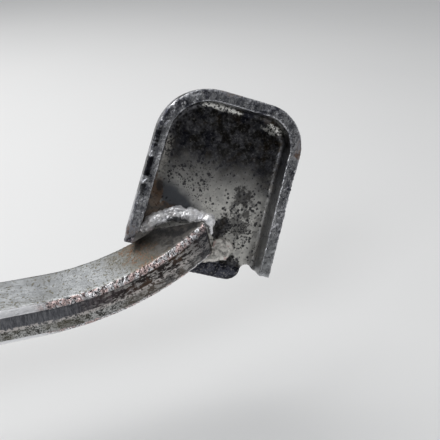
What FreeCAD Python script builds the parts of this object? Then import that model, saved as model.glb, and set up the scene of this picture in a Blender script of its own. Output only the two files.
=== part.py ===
"""Foot clutch lever: pressed pedal pad on a forged bent arm, pivot hub, crank,
clevis, return spring and the stud and stop plate that fix it to a frame.

Row frame, millimetres: +Z is the pivot axis, the arm leaves the hub along +X,
the foot pushes the tread towards -Y.  The origin is on the pivot axis in the
plane of the frame face that the stop plate sits on.
"""
import FreeCAD, Part
import math
import os

V = FreeCAD.Vector
X, Y, Z = V(1, 0, 0), V(0, 1, 0), V(0, 0, 1)

# ---------------------------------------------------------------- dimensions
# pivot stack, from the frame face upwards
plate_t = 4.0
collar_h = 6.0
collar_across_flats = 24.0
thread_d = 12.0
thread_len = 17.0
pilot_d = 14.0
journal_d = 16.0
running_gap = 0.04
thrust_washer_t = 1.5
axial_gap = 0.1
bush_wall = 2.0
bush_flange_t = 1.5
bush_flange_d = 25.0
bush_len = 12.0
hub_d = 32.0
hub_len = 32.0
seal_d = 30.0
top_washer_t = 2.5
top_washer_d = 28.0
castle_nut_h = 12.0
castle_nut_across_flats = 19.0
castle_crown_h = 4.4
castle_crown_ratio = 0.86
castle_slot_w = 3.4
nut_pin_below_top = 2.2
nut_pin_hole_d = 3.0
nut_pin_d = 2.8
thread_past_nut = 2.0
thread_chamfer = 1.0
pin_leg_spread_deg = 38
nipple_d = 5.0
nipple_across_flats = 7.0
nipple_neck_d = 4.4
nipple_head_d = 6.0

# forged arm
arm_w = 17.6
arm_t = 11.3
chamfer_across = 1.2
chamfer_down = 1.8
side_draft = 0.3
bend_start_x = 119.0
bend_inner_r = 71.8
bend_deg = 42.0
end_thinning = 1.2
end_taper = 2.0
end_slant_back = 17.0
end_slant_front = 2.5
end_undercut = 6.5
end_nose_w = 2.5
hub_weld_throat = 5.0
hub_weld_run = 5.0
arm_root_overlap = 4.0

# pressed pad, in its own axes: x across, y up the pad, z from tread to rim
pad_corner = V(166.5, 9.4, 30.95)
pad_toe_deg = -13.0
pad_lean_deg = 18.0
pad_tip_deg = -16.3
sheet_t = 3.6
pad_len = 52.1
pad_top_w = 43.9
pad_open_w = 47.2
pad_h = 10.7
corner_r_inboard = 16.3
corner_r_outboard = 13.1
edge_bend_r = 5.7
tongue_half_w = 15.6
tongue_len = 4.9
tongue_bend_r = 10.0
tongue_corner_r = 4.4
tongue_relief_r = 2.1
flange_gap = 3.2
upper_bead_d = 5.4
lower_bead_d = 8.0

# crank and clevis
crank_r = 45.0
crank_t = 7.0
crank_half_w = 8.0
crank_root_r = 12.0
crank_root_inset = 6.0
crank_weld_leg = 3.5
crank_weld_h = 7.0
clevis_pin_d = 8.0
eye_r = 9.0
fork_ear_t = 4.5
fork_side_gap = 0.2
fork_half_w = 8.0
fork_slot_depth = 17.0
fork_len = 30.0
rod_thread_d = 6.8
clevis_head_d = 12.5
clevis_head_h = 2.5
clevis_pin_tail = 7.2
clevis_washer_d = 14.0
clevis_washer_t = 1.4
clevis_split_pin_d = 2.2

# stop and spring
stop_x = 33.0
stop_tab_y = 26.0
plate_pivot_r = 20.0
plate_anchor_r = 8.0
plate_anchor_y = 22.0
plate_bolt_r = 10.0
plate_stop_r = 9.0
bracket_half_w = 9.0
bracket_above_arm = 9.0
bracket_corner_r = 6.0
bracket_weld_leg = 4.0
stop_screw_d = 6.0
stop_screw_proud = 8.0
stop_screw_head_w = 10.0
stop_screw_head_h = 4.0
stop_locknut_h = 5.0
frame_bolt_at = V(-12, -34, 0)
frame_bolt_hole_d = 8.5
wire_d = 3.0
coil_r = 19.0
coil_pitch = 3.3
coil_base_z = 6.5
hook_x = 42.0
hook_bend_r = 4.0
anchor_x = -28.0
anchor_d = 5.0
anchor_h = 13.0

# ------------------------------------------------------------- derived values
collar_top = plate_t + collar_h
hub_z = collar_top + thrust_washer_t + axial_gap + bush_flange_t
arm_z = hub_z + hub_len / 2
journal_top = hub_z + hub_len + bush_flange_t + axial_gap + 0.1
hub_r = hub_d / 2
bend_centre = V(bend_start_x, 0, arm_z + arm_t / 2 + bend_inner_r)
pad_place = FreeCAD.Placement(pad_corner, FreeCAD.Rotation(pad_toe_deg, pad_lean_deg, pad_tip_deg))
pad_place = pad_place * FreeCAD.Placement(V(0, 0, 0), FreeCAD.Rotation(X, 90))

nodes = {}


# -------------------------------------------------------------------- helpers
def cyl(d, h, at, axis=Z):
    return Part.makeCylinder(d / 2, h, at, axis)


def tube(outer_d, inner_d, h, at, axis=Z):
    return cyl(outer_d, h, at, axis).cut(cyl(inner_d, h, at, axis))


def polygon_wire(points):
    return Part.makePolygon(list(points) + [points[0]])


def prism(points, direction):
    return Part.Face(polygon_wire(points)).extrude(direction)


def hexagon(across_flats, h, at, axis=Z):
    r = across_flats / math.sqrt(3)
    angles = [math.radians(60 * i) for i in range(6)]
    corners = [V(r * math.cos(a), r * math.sin(a), 0) for a in angles]
    solid = prism(corners, V(0, 0, h))
    crown = Part.makeCone(r + h * 0.9, across_flats / 2 * 0.97, h)
    base = Part.makeCone(across_flats / 2 * 0.97, r + h * 0.9, h)
    solid = solid.common(crown).common(base)
    solid.Placement = FreeCAD.Placement(at, FreeCAD.Rotation(Z, axis))
    return solid


def capsule(a, r_a, b, r_b, h):
    """Flat plate outline joining two discs by straight sides."""
    along = (b - a).normalize()
    across = V(-along.y, along.x, 0)
    web = prism([a + across * r_a, a - across * r_a, b - across * r_b, b + across * r_b], V(0, 0, h))
    return web.fuse([cyl(2 * r_a, h, a), cyl(2 * r_b, h, b)])


def arm_section(x, grow=0.0, thinned=0.0):
    """Chamfered bar section with slightly drafted forged sides, in a YZ plane."""
    w = arm_w / 2 + grow
    top = arm_t / 2 + grow
    low = thinned - top
    edge = w - side_draft
    flat = edge - chamfer_across
    middle = (top + low) / 2
    half = [(flat, top), (edge, top - chamfer_down), (w, middle), (edge, low + chamfer_down), (flat, low)]
    outline = half + [(-y, z) for y, z in reversed(half)]
    return polygon_wire([V(x, y, arm_z + z) for y, z in outline])


def bent_bar(grow=0.0):
    """The bend, thinner towards its end, as a loft through turned sections."""
    sections = []
    steps = 6
    for i in range(steps + 1):
        section = arm_section(bend_start_x, grow, end_thinning * i / steps)
        section.rotate(bend_centre, -Y, bend_deg * i / steps)
        sections.append(section)
    return Part.makeLoft(sections, True)


def round_strip(points, d):
    """Weld metal laid along a path: cylinders joined by balls."""
    solid = Part.makeSphere(d / 2, points[0])
    for a, b in zip(points, points[1:]):
        solid = solid.fuse([cyl(d, (b - a).Length, a, b - a), Part.makeSphere(d / 2, b)])
    return solid


def split_pin(d, length, at, axis, leg_spread):
    """Round eye, doubled shank and two opened legs, built along +Z and then turned."""
    eye = Part.makeTorus(d * 0.95, d * 0.32, V(0, 0, -d * 1.15), X)
    solid = eye.fuse(cyl(d, length, V(0, 0, 0)))
    for side in (-1, 1):
        leg_axis = V(0, side * math.sin(math.radians(leg_spread)), math.cos(math.radians(leg_spread)))
        solid = solid.fuse(cyl(d * 0.55, d * 2.0, V(0, side * d * 0.18, length - 0.3), leg_axis))
    solid.Placement = FreeCAD.Placement(at, FreeCAD.Rotation(Z, axis))
    return solid


# ------------------------------------------------------------------ arm
def lever_arm():
    root_x = hub_r - arm_root_overlap
    straight = Part.Face(arm_section(root_x)).extrude(V(bend_start_x - root_x, 0, 0))
    tip = Part.makeLoft([arm_section(bend_start_x, 0, end_thinning),
                         arm_section(bend_start_x + end_taper, -end_taper * 0.6, end_thinning)], True)
    tip.rotate(bend_centre, -Y, bend_deg)
    bar = straight.fuse([bent_bar(), tip]).cut(end_cuts())
    bar = bar.cut(cyl(hub_d, hub_len, V(0, 0, hub_z)))
    return bar.cut(below_pad_floor())


def end_cuts():
    """What is cut from the bar's end: a slant on its +Y side that leaves a blunt nose
    at -Y, and an undercut that leans the nose back towards the lower face."""
    x_back, x_front = bend_start_x - end_slant_back, bend_start_x - end_slant_front
    x_far = bend_start_x + 30
    y_far, y_nose = arm_w, end_nose_w - arm_w / 2
    slope = (x_front - x_back) / (arm_w / 2 - y_nose)
    x_start = x_back - slope * (y_far - arm_w / 2)
    base = arm_z - arm_t
    corners = [V(x_start, y_far, base), V(x_front, y_nose, base),
               V(x_far, y_nose, base), V(x_far, y_far, base)]
    slant = prism(corners, V(0, 0, 2 * arm_t))
    top, low = arm_z + arm_t / 2, arm_z - arm_t / 2
    lean = [V(x_front + end_undercut, -y_far, top + arm_t), V(x_front - end_undercut, -y_far, low),
            V(x_front - end_undercut, -y_far, low - arm_t), V(x_far, -y_far, low - arm_t),
            V(x_far, -y_far, top + arm_t)]
    undercut = prism(lean, V(0, 2 * y_far, 0))
    for wedge in (slant, undercut):
        wedge.rotate(bend_centre, -Y, bend_deg)
    return [slant, undercut]


# ------------------------------------------------------------------ pad
def below_pad_floor():
    """Everything on the tread side of the tray's inner floor, so the bar sits on it."""
    slab = Part.makeBox(80, 60, 40, V(-40, -6, sheet_t - 40))
    slab.Placement = pad_place
    return slab


def pad_blank(inset, z_low, z_high, foot_y, bend_r):
    """Prism of the tray outline, its floor edge rounded over to the flanges."""
    slope = (pad_open_w - pad_top_w) / 2 / pad_len
    foot_half = pad_open_w / 2 - inset - slope * foot_y
    top_half = pad_top_w / 2 - inset
    top_y = pad_len - inset
    corners = [V(-foot_half, foot_y, z_low), V(foot_half, foot_y, z_low),
               V(top_half, top_y, z_low), V(-top_half, top_y, z_low)]
    solid = prism(corners, V(0, 0, z_high - z_low))
    for side, radius in ((1, corner_r_outboard), (-1, corner_r_inboard)):
        upright = [e for e in solid.Edges if e.BoundBox.ZLength > 1 and e.BoundBox.XLength < 0.01
                   and e.CenterOfMass.y > pad_len / 2 and e.CenterOfMass.x * side > 0]
        solid = solid.makeFillet(radius - inset, upright)
    rim = [e for e in solid.Edges if e.BoundBox.ZMax < z_low + 0.01 and e.CenterOfMass.y > foot_y + 0.5]
    return solid.makeFillet(bend_r, rim)


def pedal_pad():
    outer = pad_blank(0, 0, pad_h, -8, edge_bend_r)
    inner = pad_blank(sheet_t, sheet_t, pad_h + 2, -14, edge_bend_r - sheet_t)
    tray = outer.cut(inner).cut(Part.makeBox(80, 40, 40, V(-40, -40, -10)))
    strip = polygon_wire([V(-tongue_half_w, 0, 0), V(tongue_half_w, 0, 0),
                          V(tongue_half_w, 0, sheet_t), V(-tongue_half_w, 0, sheet_t)])
    tongue_deg = math.degrees(tongue_len / (tongue_bend_r + sheet_t / 2))
    tongue = Part.Face(strip).revolve(V(0, 0, -tongue_bend_r), X, tongue_deg)
    nip = [e for e in tongue.Edges if e.BoundBox.XLength < 0.01 and e.CenterOfMass.y < -tongue_len * 0.8]
    tongue = tongue.makeFillet(tongue_corner_r, nip)
    tray = tray.fuse(tongue).removeSplitter()
    for side in (-1, 1):
        relief_at = V(side * (tongue_half_w + 2.0), -0.9, -5)
        tray = tray.cut(cyl(2 * tongue_relief_r, 20, relief_at))
    tray.Placement = pad_place
    return tray.cut(arm_clearance())


def arm_clearance():
    """Room for the bar where it passes the end of the inboard flange."""
    straight = Part.Face(arm_section(bend_start_x - 30, flange_gap)).extrude(V(30, 0, 0))
    return straight.fuse(bent_bar(flange_gap)).cut(below_pad_floor())


# ------------------------------------------------------------------ welds
def section_weld(x_root, x_toe, throat):
    """Fillet all round the bar where it meets the hub."""
    return Part.makeLoft([arm_section(x_root, throat), arm_section(x_toe, 0.3)], True)


def on_pad(points):
    return [pad_place.multVec(V(*p)) for p in points]


# ------------------------------------------------------------------ spring
def return_spring():
    """Left-hand torsion coil; the fixed leg leaves at +Y, the moving leg crosses
    under the arm and hooks up its -Y side."""
    hook_y = -(arm_w + wire_d) / 2 - 0.3
    reach = math.hypot(hook_x, hook_y)
    leave = math.atan2(hook_y, hook_x) + math.acos(coil_r / reach)
    sweep = 6 * math.pi + math.pi / 2 - leave
    rise = coil_pitch / (2 * math.pi)

    def on_coil(turned):
        angle = math.pi / 2 - turned
        return V(coil_r * math.cos(angle), coil_r * math.sin(angle), coil_base_z + rise * turned)

    arcs = 13
    step = sweep / arcs
    edges = []
    for i in range(arcs):
        arc = Part.Arc(on_coil(i * step), on_coil((i + 0.5) * step), on_coil((i + 1) * step))
        edges.append(arc.toShape())
    enter = edges[0].tangentAt(edges[0].FirstParameter)
    leaving = edges[-1].tangentAt(edges[-1].LastParameter)
    fixed_end = on_coil(0) - enter * (8 - anchor_x)
    side = (leaving.cross(Z)).normalize()
    up = side.cross(leaving)
    run = math.sqrt(reach**2 - coil_r**2) - hook_bend_r
    bend_from = on_coil(sweep) + leaving * run
    bend_mid = bend_from + (leaving * math.sin(math.pi / 4) + up * (1 - math.cos(math.pi / 4))) * hook_bend_r
    bend_to = bend_from + (leaving + up) * hook_bend_r
    edges.insert(0, Part.LineSegment(fixed_end, on_coil(0)).toShape())
    edges.append(Part.LineSegment(on_coil(sweep), bend_from).toShape())
    edges.append(Part.Arc(bend_from, bend_mid, bend_to).toShape())
    edges.append(Part.LineSegment(bend_to, bend_to + up * (arm_z + 1 - bend_to.z)).toShape())
    ring = Part.Wire(Part.makeCircle(wire_d / 2, fixed_end, enter))
    return Part.Wire(edges).makePipeShell([ring], True, False)


# ------------------------------------------------------------------ root side
def stop_plate():
    centre = V(0, 0, 0)
    solid = capsule(centre, plate_pivot_r, V(anchor_x, plate_anchor_y, 0), plate_anchor_r, plate_t)
    solid = solid.fuse(capsule(centre, plate_pivot_r, frame_bolt_at, plate_bolt_r, plate_t))
    stop_lobe_at = V(stop_x - 2, 14, 0)
    solid = solid.fuse(capsule(centre, plate_pivot_r - 2, stop_lobe_at, plate_stop_r, plate_t))
    foot_at = V(stop_x - bracket_half_w, 8, 0)
    foot = Part.makeBox(2 * bracket_half_w, stop_tab_y + plate_t - foot_at.y, plate_t, foot_at)
    solid = solid.fuse(foot).removeSplitter()
    holes = [cyl(pilot_d, plate_t, centre), cyl(frame_bolt_hole_d, plate_t, frame_bolt_at),
             cyl(anchor_d, plate_t, anchor_at())]
    return solid.cut(holes)


def stop_bracket():
    top = arm_z + bracket_above_arm
    upright_at = V(stop_x - bracket_half_w, stop_tab_y, plate_t)
    upright = Part.makeBox(2 * bracket_half_w, plate_t, top - plate_t, upright_at)
    corners = [e for e in upright.Edges if e.BoundBox.YLength > 3 and e.BoundBox.ZMin > top - 1]
    upright = upright.makeFillet(bracket_corner_r, corners)
    return upright.cut(cyl(stop_screw_d, 10, V(stop_x, stop_tab_y - 3, arm_z), Y))


def bracket_weld():
    x0, z0 = stop_x - bracket_half_w + 1, plate_t
    return prism([V(x0, stop_tab_y, z0), V(x0, stop_tab_y, z0 + bracket_weld_leg),
                  V(x0, stop_tab_y - bracket_weld_leg, z0)], V(2 * bracket_half_w - 2, 0, 0))


def anchor_at():
    return V(anchor_x, coil_r + wire_d / 2 + anchor_d / 2 + 0.1, 0)


def pivot_stud():
    solid = cyl(journal_d, journal_top - collar_top, V(0, 0, collar_top))
    solid = solid.fuse(hexagon(collar_across_flats, collar_h, V(0, 0, plate_t)))
    solid = solid.fuse(cyl(pilot_d, plate_t, V(0, 0, 0)))
    end_r = thread_d / 2 - thread_chamfer
    low_end = V(0, 0, -thread_len - thread_chamfer)
    solid = solid.fuse(cyl(thread_d, thread_len, V(0, 0, -thread_len)))
    solid = solid.fuse(Part.makeCone(end_r, thread_d / 2, thread_chamfer, low_end))
    top_len = top_washer_t + castle_nut_h + thread_past_nut
    solid = solid.fuse(cyl(thread_d, top_len, V(0, 0, journal_top)))
    solid = solid.fuse(Part.makeCone(thread_d / 2, end_r, thread_chamfer, V(0, 0, journal_top + top_len)))
    return solid.removeSplitter().cut(cyl(nut_pin_hole_d, 30, V(-15, 0, nut_pin_z()), X))


def nut_pin_z():
    return journal_top + top_washer_t + castle_nut_h - nut_pin_below_top


def castle_nut():
    base = journal_top + top_washer_t
    body_h = castle_nut_h - castle_crown_h
    solid = hexagon(castle_nut_across_flats, body_h, V(0, 0, base))
    crown = cyl(castle_nut_across_flats * castle_crown_ratio, castle_crown_h, V(0, 0, base + body_h))
    solid = solid.fuse(crown)
    for i in range(3):
        slot = Part.makeBox(30, castle_slot_w, 6, V(-15, -castle_slot_w / 2, base + body_h))
        slot.rotate(V(0, 0, 0), Z, 60 * i)
        solid = solid.cut(slot)
    return solid.cut(cyl(thread_d, castle_nut_h, V(0, 0, base)))


def stop_screw():
    tip_y = arm_w / 2 + 0.05
    nut_y = stop_tab_y + plate_t
    head_y = nut_y + stop_screw_proud
    shank = cyl(stop_screw_d, head_y - tip_y - 1.5, V(stop_x, tip_y + 1.5, arm_z), Y)
    dome = Part.makeSphere(stop_screw_d / 2, V(stop_x, tip_y + 3, arm_z))
    dome = dome.common(Part.makeBox(8, 3, 8, V(stop_x - 4, tip_y, arm_z - 4)))
    head = hexagon(stop_screw_head_w, stop_screw_head_h, V(stop_x, head_y, arm_z), Y)
    return shank.fuse([dome, head]).removeSplitter()


# ------------------------------------------------------------------ build
bush_d = journal_d + 2 * running_gap
hub_bore = journal_d + 2 * running_gap + 2 * bush_wall
nodes["stop_plate"] = stop_plate()
nodes["stop_bracket"] = stop_bracket()
nodes["bracket_weld"] = bracket_weld()
nodes["pivot_stud"] = pivot_stud()
nodes["spring_anchor_pin"] = cyl(anchor_d, anchor_h, anchor_at())
nodes["stop_screw"] = stop_screw()
nut_at = V(stop_x, stop_tab_y + plate_t, arm_z)
locknut = hexagon(stop_screw_head_w, stop_locknut_h, nut_at, Y)
nodes["stop_locknut"] = locknut.cut(cyl(stop_screw_d, stop_locknut_h, nut_at, Y))
nodes["thrust_washer"] = tube(seal_d, journal_d + 0.1, thrust_washer_t, V(0, 0, collar_top))
nodes["top_washer"] = tube(top_washer_d, thread_d + 0.2, top_washer_t, V(0, 0, journal_top))
nodes["castle_nut"] = castle_nut()
pin_start = -castle_nut_across_flats * castle_crown_ratio / 2 - 0.4
pin_at = V(pin_start, 0, nut_pin_z())
nodes["nut_split_pin"] = split_pin(nut_pin_d, -2 * pin_start, pin_at, X, pin_leg_spread_deg)

nipple_at = V(0, -hub_r, arm_z)
hub = tube(hub_d, hub_bore, hub_len, V(0, 0, hub_z))
hub = hub.cut(cyl(nipple_d, 12, nipple_at + V(0, 8, 0), -Y))
nodes["pivot_hub"] = hub
for name, low_z, flange_z in (("bush_lower", hub_z, hub_z - bush_flange_t),
                              ("bush_upper", hub_z + hub_len - bush_len, hub_z + hub_len)):
    sleeve = tube(hub_bore, bush_d, bush_len, V(0, 0, low_z))
    nodes[name] = sleeve.fuse(tube(bush_flange_d, bush_d, bush_flange_t, V(0, 0, flange_z))).removeSplitter()
for name, low_z in (("seal_lower", hub_z - bush_flange_t), ("seal_upper", hub_z + hub_len)):
    nodes[name] = tube(seal_d, bush_flange_d + 0.2, bush_flange_t, V(0, 0, low_z))

nipple = cyl(nipple_d, 7, nipple_at + V(0, 4, 0), -Y)
nipple = nipple.fuse(hexagon(nipple_across_flats, 3, nipple_at + V(0, -3, 0), Y))
nipple = nipple.fuse(cyl(nipple_neck_d, 4, nipple_at + V(0, -3, 0), -Y))
nipple = nipple.fuse(cyl(nipple_head_d, 2.4, nipple_at + V(0, -7, 0), -Y))
nipple_tip = Part.makeCone(nipple_head_d / 2, 1.4, 1.6, nipple_at + V(0, -9.4, 0), -Y)
nodes["grease_nipple"] = nipple.fuse(nipple_tip)

hub_solid = cyl(hub_d, hub_len, V(0, 0, hub_z))
nodes["lever_arm"] = lever_arm()
hub_weld = section_weld(hub_r - arm_root_overlap, hub_r + hub_weld_run, hub_weld_throat)
nodes["hub_weld"] = hub_weld.cut([hub_solid, nodes["lever_arm"]])

crank_eye = V(-crank_r, 0, arm_z - crank_t / 2)
crank_root = V(-hub_r + crank_root_inset, 0, crank_eye.z)
crank = capsule(crank_root, crank_root_r, crank_eye, crank_half_w, crank_t)
crank = crank.fuse(cyl(2 * eye_r, crank_t, crank_eye)).removeSplitter()
nodes["crank_arm"] = crank.cut([hub_solid, cyl(clevis_pin_d + 0.1, crank_t, crank_eye)])
ledge = capsule(V(-hub_r + crank_root_inset, 0, 0), crank_root_r + 3, V(-hub_r - 2, 0, 0), 13, crank_t + 5)
ledge.translate(V(0, 0, crank_eye.z - 2.5))
leg_r, toe_r = hub_r + crank_weld_leg, hub_r + 0.2
ring = Part.makeCone(leg_r, toe_r, crank_weld_h, V(0, 0, arm_z))
ring = ring.fuse(Part.makeCone(toe_r, leg_r, crank_weld_h, V(0, 0, arm_z - crank_weld_h)))
behind = Part.makeBox(40, 60, 40, V(-40 - 6, -30, arm_z - 20))
nodes["crank_weld"] = ledge.common(ring).common(behind).cut([hub_solid, nodes["crank_arm"]])

nodes["pedal_pad"] = pedal_pad()
upper_path = on_pad([(-18.6, 6.4, 5.0), (-14.0, 10.4, 5.0), (-9.0, 13.3, 5.0), (-4.0, 13.6, 5.0),
                     (0.9, 12.4, 5.0), (-2.4, 15.2, 19.5)])
lower_path = on_pad([(9.2, 4.2, 4.2), (5.2, 2.2, 4.4), (2.4, 0.6, 4.2), (-3.2, 1.2, 4.6)])
welded = [nodes["lever_arm"], nodes["pedal_pad"]]
nodes["pad_weld_upper"] = round_strip(upper_path, upper_bead_d).cut(welded)
nodes["pad_weld_lower"] = round_strip(lower_path, lower_bead_d).cut(welded)

eye = V(-crank_r, 0, arm_z)
half_gap = crank_t / 2 + fork_side_gap
half_h = half_gap + fork_ear_t
fork = Part.makeBox(2 * fork_half_w, fork_len, 2 * half_h, eye + V(-fork_half_w, -fork_len, -half_h))
fork = fork.fuse(cyl(2 * fork_half_w, 2 * half_h, eye - Z * half_h)).removeSplitter()
slot = Part.makeBox(40, 40 + fork_slot_depth, 2 * half_gap, eye + V(-20, -fork_slot_depth, -half_gap))
rod_hole = cyl(rod_thread_d, fork_len, eye + V(0, -fork_len, 0), Y)
nodes["clevis_fork"] = fork.cut([slot, cyl(clevis_pin_d, 2 * half_h, eye - Z * half_h), rod_hole])
pin_low = eye - Z * (half_h + clevis_pin_tail)
clevis_pin = cyl(clevis_pin_d, 2 * half_h + clevis_pin_tail, pin_low)
clevis_pin = clevis_pin.fuse(cyl(clevis_head_d, clevis_head_h, eye + Z * half_h)).removeSplitter()
cross_z = pin_low.z + 2.4
nodes["clevis_pin"] = clevis_pin.cut(cyl(2.4, 20, V(eye.x, -10, cross_z), Y))
washer_at = eye - Z * (half_h + clevis_washer_t)
nodes["clevis_washer"] = tube(clevis_washer_d, clevis_pin_d + 0.2, clevis_washer_t, washer_at)
split_pin_at = V(eye.x, 4.7, cross_z)
nodes["clevis_split_pin"] = split_pin(clevis_split_pin_d, 9.4, split_pin_at, -Y, pin_leg_spread_deg)
nodes["return_spring"] = return_spring()

os.makedirs("parts", exist_ok=True)
for name, shape in nodes.items():
    shape.exportStep("parts/" + name + ".step")
    print(name, len(shape.Solids), shape.isValid(), round(shape.Volume, 1))
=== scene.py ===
import math

import bmesh
import bpy
import numpy as np
from mathutils import Matrix, Vector, noise


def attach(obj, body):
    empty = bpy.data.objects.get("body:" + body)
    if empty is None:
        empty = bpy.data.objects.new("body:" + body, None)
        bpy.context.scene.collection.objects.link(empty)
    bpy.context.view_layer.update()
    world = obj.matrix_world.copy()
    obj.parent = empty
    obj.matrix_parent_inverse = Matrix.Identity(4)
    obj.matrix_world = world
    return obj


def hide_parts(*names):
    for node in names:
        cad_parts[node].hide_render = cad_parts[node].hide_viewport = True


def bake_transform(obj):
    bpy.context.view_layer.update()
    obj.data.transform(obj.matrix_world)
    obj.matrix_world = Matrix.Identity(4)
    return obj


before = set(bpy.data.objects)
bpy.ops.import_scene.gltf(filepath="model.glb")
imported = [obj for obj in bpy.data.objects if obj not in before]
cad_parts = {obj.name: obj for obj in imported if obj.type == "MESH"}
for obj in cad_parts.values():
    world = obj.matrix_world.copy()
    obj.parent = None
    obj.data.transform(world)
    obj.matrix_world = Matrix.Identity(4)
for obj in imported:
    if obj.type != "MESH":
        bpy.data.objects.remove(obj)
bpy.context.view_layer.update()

MM = 0.001
rng = np.random.default_rng(11)
scene = bpy.context.scene

# ---- sizes, in mm
ARM_Z = 29.1
ARM_HALF_W = 8.8
ARM_HALF_T = 5.65
BEND_X = 119.0
BEND_R = 77.45
BEND_CENTRE_Z = ARM_Z + BEND_R
HUB_R = 16.0
HUB_LOW, HUB_HIGH = 13.1, 45.1
JOURNAL_R = 8.0
JOURNAL_LOW, JOURNAL_HIGH = 10.0, 46.8
BUSH_R, BUSH_LEN = 10.0, 12.0
FLANGE_R, FLANGE_T = 12.5, 1.5
RUNNING_GAP = 0.04
STUD_R = 6.0
STUD_LOW, STUD_HIGH = -18.0, 66.3
NUT_PIN_Z = 59.1
SCREW_X = 33.0
PAD_CORNER = Vector((166.5, 9.4, 30.95))
PAD_TOE, PAD_LEAN, PAD_TIP = (math.radians(a) for a in (-13.0, 18.0, -16.3))
PAD_AXES = (Matrix.Rotation(PAD_TOE, 3, "Z") @ Matrix.Rotation(PAD_LEAN, 3, "Y")
            @ Matrix.Rotation(PAD_TIP + math.pi / 2, 3, "X"))
PAD_U, PAD_V, PAD_N = (PAD_AXES.col[i].copy() for i in range(3))
PAD_LEN = 52.1
CRANK_R = 45.0
CRANK_HALF_W, CRANK_HALF_T = 10.6, 3.5


# ---- mesh helpers
def linked(name, mesh):
    obj = bpy.data.objects.new(name, mesh)
    scene.collection.objects.link(obj)
    return obj


def edited(name, mesh, edit):
    """An object with this mesh, after one bmesh edit."""
    bm = bmesh.new()
    bm.from_mesh(mesh)
    edit(bm)
    bm.to_mesh(mesh)
    bm.free()
    return linked(name, mesh)


def mesh_piece(name, points, faces):
    """A new object from points in millimetres."""
    mesh = bpy.data.meshes.new(name)
    mesh.from_pydata((np.asarray(points, float) * MM).tolist(), [], faces)
    return edited(name, mesh, lambda bm: bmesh.ops.recalc_face_normals(bm, faces=bm.faces))


def cad_copy(node, name):
    """A CAD node's mesh as a new object, with its loose triangles joined."""
    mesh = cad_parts[node].data.copy()
    mesh.name = name
    mesh.materials.clear()
    return edited(name, mesh, lambda bm: bmesh.ops.remove_doubles(bm, verts=bm.verts, dist=2e-6))


def apply_modifiers(obj, *modifiers):
    for kind, settings in modifiers:
        modifier = obj.modifiers.new(kind.lower(), kind)
        for key, value in settings.items():
            setattr(modifier, key, value)
    graph = bpy.context.evaluated_depsgraph_get()
    done = bpy.data.meshes.new_from_object(obj.evaluated_get(graph))
    done.name = obj.name
    obj.modifiers.clear()
    obj.data = done
    return obj


def read_vertices(obj, what):
    flat = np.zeros(len(obj.data.vertices) * 3)
    obj.data.vertices.foreach_get(what, flat)
    return flat.reshape(-1, 3)


def points_of(obj):
    return read_vertices(obj, "co") / MM


def lifted(obj, lift):
    """Moves each point along its normal by its own lift in mm."""
    points = points_of(obj) + read_vertices(obj, "normal") * lift[:, None]
    obj.data.vertices.foreach_set("co", (points * MM).ravel())
    obj.data.update()
    return smooth_shaded(obj)


def smooth_shaded(obj, degrees=180):
    for polygon in obj.data.polygons:
        polygon.use_smooth = True
    if degrees < 180:
        obj.data.set_sharp_from_angle(angle=math.radians(degrees))
    return obj


def piece(obj, body, slot, material, *nodes):
    obj.data.materials.clear()
    obj.data.materials.append(material)
    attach(obj, body)
    if nodes:
        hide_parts(*nodes)
    return obj


def fractal(points, size, octaves=3, shift=0.0):
    """Seeded noise from about -1 to 1, with features of the given size in mm."""
    scaled = points / size + shift
    return np.array([noise.fractal(Vector(p), 1.0, 2.0, octaves) for p in scaled])


def smooth_step(x, low, high):
    t = np.clip((x - low) / (high - low), 0, 1)
    return t * t * (3 - 2 * t)


def machined(node, name, bevel):
    """A CAD solid with its edges broken."""
    obj = cad_copy(node, name)
    apply_modifiers(
        obj,
        ("DECIMATE", {"decimate_type": "DISSOLVE", "angle_limit": math.radians(1.0)}),
        ("BEVEL", {"width": bevel * MM, "segments": 2, "limit_method": "ANGLE",
                   "angle_limit": math.radians(35), "harden_normals": False}),
        ("TRIANGULATE", {"keep_custom_normals": False}))
    return smooth_shaded(obj, 40)


def remeshed(obj, voxel, smoothing):
    return apply_modifiers(
        obj,
        ("REMESH", {"mode": "VOXEL", "voxel_size": voxel * MM, "adaptivity": 0.0}),
        ("SMOOTH", {"factor": 0.5, "iterations": smoothing}))


def forged(node, name, voxel, relief, keep):
    """A CAD solid with rounded edges and the uneven skin that a die leaves."""
    obj = remeshed(cad_copy(node, name), voxel, 3)
    points = points_of(obj)
    coarse = fractal(points, 7.0) - 0.4
    fine = fractal(points, 1.6, 2, 9.0) - 0.4
    lift = relief * coarse + 0.5 * relief * fine
    lifted(obj, np.minimum(lift, 0))
    apply_modifiers(obj, ("DECIMATE", {"decimate_type": "COLLAPSE", "ratio": keep}))
    return smooth_shaded(obj)


def axis_frame(axis):
    """Two directions across an axis, and the axis."""
    axis = Vector(axis).normalized()
    side = Vector((1, 0, 0)) if abs(axis.x) < 0.9 else Vector((0, 1, 0))
    side = (side - axis * side.dot(axis)).normalized()
    return side, axis.cross(side), axis


def eased(profile, size, closed):
    """The outline with each corner cut back and rounded by three points."""
    out = []
    count = len(profile)
    for i, corner in enumerate(profile):
        here = Vector(corner)
        if not closed and i in (0, count - 1):
            out.append(tuple(here))
            continue
        before, after = Vector(profile[i - 1]), Vector(profile[(i + 1) % count])
        cut = min(size, 0.4 * (here - before).length, 0.4 * (after - here).length)
        a = here + (before - here).normalized() * cut
        b = here + (after - here).normalized() * cut
        out += [tuple(a), tuple((a + b) * 0.25 + here * 0.5), tuple(b)]
    return out


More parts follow.
